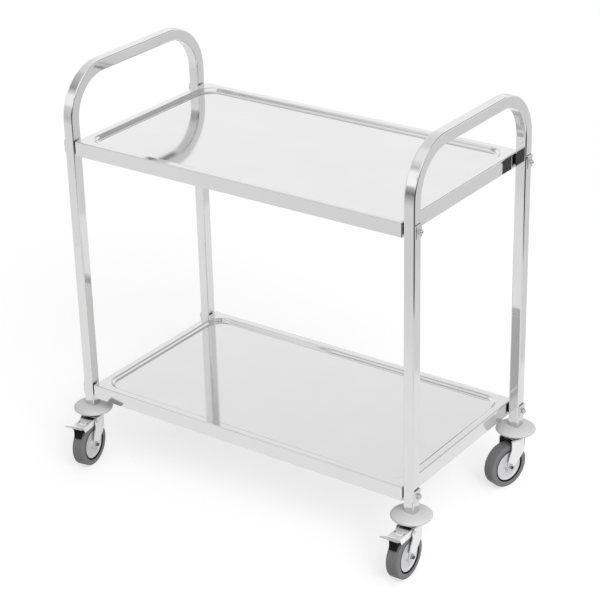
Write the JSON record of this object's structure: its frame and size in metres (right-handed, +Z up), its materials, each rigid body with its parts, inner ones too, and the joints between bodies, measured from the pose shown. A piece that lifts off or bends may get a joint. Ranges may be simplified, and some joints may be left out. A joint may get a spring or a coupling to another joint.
{
  "type": "serving trolley",
  "caption": "Two-tier stainless serving trolley: pressed trays bolted between bent square-tube end frames with push handles, bumpers and swivel casters, the front ones braked.",
  "frame": {"origin": "on the floor, midway between the four legs", "axes": "+X along the trays towards the right-hand end frame, +Y from the front (braked casters) to the back, +Z up"},
  "size_m": [0.948, 0.572, 0.936],
  "materials": {
    "frame_steel": "polished",
    "tray_steel": "satin",
    "fastener_steel": "bright",
    "caster_steel": "zinc plated",
    "pedal_steel": "zinc plated",
    "pad_rubber": "matt",
    "plug_plastic": "matt",
    "bumper_plastic": "satin",
    "wheel_plastic": "satin",
    "tyre_rubber": "matt",
    "shoe_rubber": "matt"
  },
  "bodies": {
    "frame": {"end_frame_left": "frame_steel", "end_frame_right": "frame_steel", "upper_tray": "tray_steel", "lower_tray": "tray_steel", "tray_bolts": "fastener_steel", "leg_plates": "fastener_steel", "dome_nuts": "fastener_steel", "swivel_nuts": "fastener_steel", "tray_pads": "pad_rubber", "front_left_plug": "plug_plastic", "front_left_bumper": "bumper_plastic", "front_left_stem": "caster_steel", "front_right_plug": "plug_plastic", "front_right_bumper": "bumper_plastic", "front_right_stem": "caster_steel", "rear_left_plug": "plug_plastic", "rear_left_bumper": "bumper_plastic", "rear_left_stem": "caster_steel", "rear_right_plug": "plug_plastic", "rear_right_bumper": "bumper_plastic", "rear_right_stem": "caster_steel"},
    "front_left_caster": {"front_left_swivel_race": "plug_plastic", "front_left_fork": "caster_steel", "front_left_axle_bolt": "fastener_steel", "front_left_axle_nut": "fastener_steel", "front_left_axle_sleeve": "caster_steel", "front_left_brake_pin": "fastener_steel"},
    "front_left_wheel": {"front_left_wheel_core": "wheel_plastic", "front_left_tyre": "tyre_rubber"},
    "front_left_brake": {"front_left_brake_pedal": "pedal_steel", "front_left_brake_shoe": "shoe_rubber"},
    "front_right_caster": {"front_right_swivel_race": "plug_plastic", "front_right_fork": "caster_steel", "front_right_axle_bolt": "fastener_steel", "front_right_axle_nut": "fastener_steel", "front_right_axle_sleeve": "caster_steel", "front_right_brake_pin": "fastener_steel"},
    "front_right_wheel": {"front_right_wheel_core": "wheel_plastic", "front_right_tyre": "tyre_rubber"},
    "front_right_brake": {"front_right_brake_pedal": "pedal_steel", "front_right_brake_shoe": "shoe_rubber"},
    "rear_left_caster": {"rear_left_swivel_race": "plug_plastic", "rear_left_fork": "caster_steel", "rear_left_axle_bolt": "fastener_steel", "rear_left_axle_nut": "fastener_steel", "rear_left_axle_sleeve": "caster_steel"},
    "rear_left_wheel": {"rear_left_wheel_core": "wheel_plastic", "rear_left_tyre": "tyre_rubber"},
    "rear_right_caster": {"rear_right_swivel_race": "plug_plastic", "rear_right_fork": "caster_steel", "rear_right_axle_bolt": "fastener_steel", "rear_right_axle_nut": "fastener_steel", "rear_right_axle_sleeve": "caster_steel"},
    "rear_right_wheel": {"rear_right_wheel_core": "wheel_plastic", "rear_right_tyre": "tyre_rubber"}
  },
  "joints": [
    {"name": "front_left_swivel", "type": "hinge", "parent": "frame", "child": "front_left_caster", "pos_m": [-0.4295, -0.2165, 0.115], "axis": [0, 0, 1], "continuous": true},
    {"name": "front_left_roll", "type": "hinge", "parent": "front_left_caster", "child": "front_left_wheel", "pos_m": [-0.42455, -0.24609, 0.051], "axis": [0.9863, 0.165, 0], "continuous": true},
    {"name": "front_left_brake_press", "type": "hinge", "parent": "front_left_caster", "child": "front_left_brake", "pos_m": [-0.4257, -0.23919, 0.1065], "axis": [0.9863, 0.165, 0], "range_deg": [0, 5]},
    {"name": "front_right_swivel", "type": "hinge", "parent": "frame", "child": "front_right_caster", "pos_m": [0.4295, -0.2165, 0.115], "axis": [0, 0, 1], "continuous": true},
    {"name": "front_right_roll", "type": "hinge", "parent": "front_right_caster", "child": "front_right_wheel", "pos_m": [0.43028, -0.24649, 0.051], "axis": [0.9997, 0.0262, 0], "continuous": true},
    {"name": "front_right_brake_press", "type": "hinge", "parent": "front_right_caster", "child": "front_right_brake", "pos_m": [0.4301, -0.23949, 0.1065], "axis": [0.9997, 0.0262, 0], "range_deg": [0, 5]},
    {"name": "rear_left_swivel", "type": "hinge", "parent": "frame", "child": "rear_left_caster", "pos_m": [-0.4295, 0.2165, 0.115], "axis": [0, 0, 1], "continuous": true},
    {"name": "rear_left_roll", "type": "hinge", "parent": "rear_left_caster", "child": "rear_left_wheel", "pos_m": [-0.42741, 0.18657, 0.051], "axis": [0.9976, 0.0698, 0], "continuous": true},
    {"name": "rear_right_swivel", "type": "hinge", "parent": "frame", "child": "rear_right_caster", "pos_m": [0.4295, 0.2165, 0.115], "axis": [0, 0, 1], "continuous": true},
    {"name": "rear_right_roll", "type": "hinge", "parent": "rear_right_caster", "child": "rear_right_wheel", "pos_m": [0.42073, 0.18781, 0.051], "axis": [0.9563, -0.2924, 0], "continuous": true}
  ]
}
